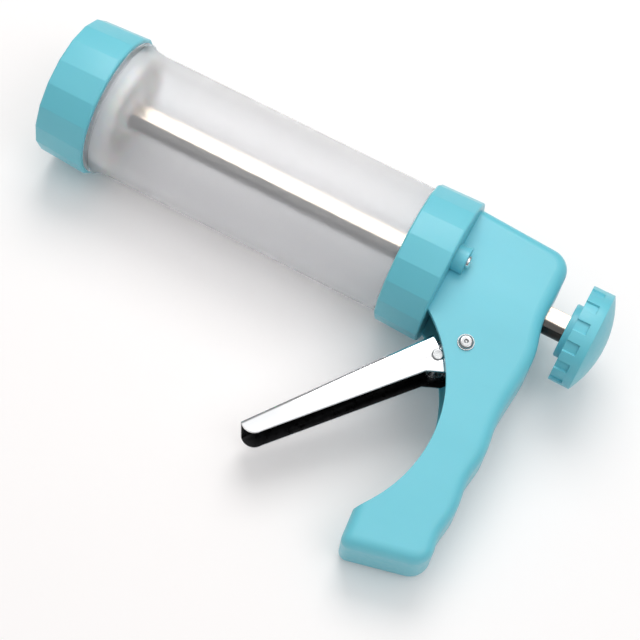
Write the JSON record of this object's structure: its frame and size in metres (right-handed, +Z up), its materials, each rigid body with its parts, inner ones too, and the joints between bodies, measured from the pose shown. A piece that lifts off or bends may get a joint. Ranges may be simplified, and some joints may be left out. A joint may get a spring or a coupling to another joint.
{
  "type": "cookie press",
  "caption": "Hand-held cookie press lying on its side: frosted barrel between faceted rings, pistol grip with a hinged steel trigger, toothed plunger rod and ribbed knob.",
  "frame": {"origin": "middle of the footprint, on the table that the press lies on", "axes": "+X along the barrel axis towards the knob, -Y towards the toe of the grip, +Z up from the table"},
  "size_m": [0.2449, 0.1538, 0.0625],
  "materials": {
    "teal_plastic": "satin moulded plastic",
    "frosted_barrel": "frosted translucent plastic",
    "disc_aluminium": "brushed",
    "seal_rubber": "soft satin",
    "white_plastic": "satin moulded plastic",
    "bright_steel": "bright drawn steel",
    "rod_steel": "plated steel bar",
    "chrome": "polished chrome",
    "brass_insert": "knurled"
  },
  "bodies": {
    "handle": {"handle": "teal_plastic", "collar": "teal_plastic", "collar_screws": "chrome", "front_guide": "white_plastic", "rear_guide": "white_plastic", "pivot_rivet": "chrome", "pivot_spacers": "white_plastic", "pivot_sleeve": "bright_steel", "trigger_spring": "bright_steel", "hold_pawl_pin": "bright_steel", "hold_pawl_spring": "bright_steel"},
    "trigger": {"trigger_lever": "chrome", "drive_arms": "bright_steel", "lever_rivet": "chrome", "drive_pawl_pin": "bright_steel", "drive_pawl_spring": "bright_steel"},
    "drive_pawl": {"drive_pawl": "bright_steel"},
    "hold_pawl": {"hold_pawl": "bright_steel"},
    "plunger": {"plunger": "white_plastic", "plunger_seal": "seal_rubber"},
    "rod": {"ratchet_rod": "rod_steel", "plunger_washer": "bright_steel", "plunger_nut": "bright_steel", "knob": "teal_plastic", "knob_insert": "brass_insert"},
    "barrel_seal": {"barrel_seal": "seal_rubber"},
    "barrel": {"barrel": "frosted_barrel"},
    "cookie_disc": {"cookie_disc": "disc_aluminium"},
    "front_cap": {"front_cap": "teal_plastic"}
  },
  "joints": [
    {"name": "trigger_squeeze", "type": "hinge", "parent": "handle", "child": "trigger", "pos_m": [0.07355, 0.01698, 0.02706], "axis": [0, -0.1492, 0.9888], "range_deg": [0, 30], "stiffness_Nm_per_rad": 0.5, "springref_deg": -22.92, "deforming": ["trigger_spring"]},
    {"name": "drive_pawl_rock", "type": "hinge", "parent": "trigger", "child": "drive_pawl", "pos_m": [0.08083, 0.03052, 0.0291], "axis": [0, -0.1492, 0.9888], "range_deg": [0, 20], "stiffness_Nm_per_rad": 0.01, "springref_deg": -17.19, "deforming": ["drive_pawl_spring"]},
    {"name": "hold_pawl_rock", "type": "hinge", "parent": "handle", "child": "hold_pawl", "pos_m": [0.09045, 0.03052, 0.0291], "axis": [0, -0.1492, 0.9888], "range_deg": [0, 20], "stiffness_Nm_per_rad": 0.01, "springref_deg": -17.19, "deforming": ["hold_pawl_spring"]},
    {"name": "plunger_slide", "type": "slide", "parent": "handle", "child": "plunger", "axis": [1, 0, 0], "range_m": [-0.00735, 0.136]},
    {"name": "rod_turn", "type": "hinge", "parent": "plunger", "child": "rod", "pos_m": [0.05425, 0.04625, 0.03148], "axis": [1, 0, 0], "range_deg": [0, 90]},
    {"name": "barrel_draw", "type": "slide", "parent": "handle", "child": "barrel_seal", "axis": [-1, 0, 0], "range_m": [0, 0.012]},
    {"name": "barrel_unscrew", "type": "hinge", "parent": "barrel_seal", "child": "barrel", "pos_m": [0.05425, 0.04625, 0.03148], "axis": [-1, 0, 0], "range_deg": [0, 720]},
    {"name": "cap_draw", "type": "slide", "parent": "barrel", "child": "cookie_disc", "axis": [-1, 0, 0], "range_m": [0, 0.012]},
    {"name": "cap_unscrew", "type": "hinge", "parent": "cookie_disc", "child": "front_cap", "pos_m": [0.05425, 0.04625, 0.03148], "axis": [-1, 0, 0], "range_deg": [0, 720]}
  ],
  "couplings": [
    {"joint": "barrel_draw", "follows": "barrel_unscrew", "m_per_rad": 0.00095493},
    {"joint": "cap_draw", "follows": "cap_unscrew", "m_per_rad": 0.00095493}
  ]
}
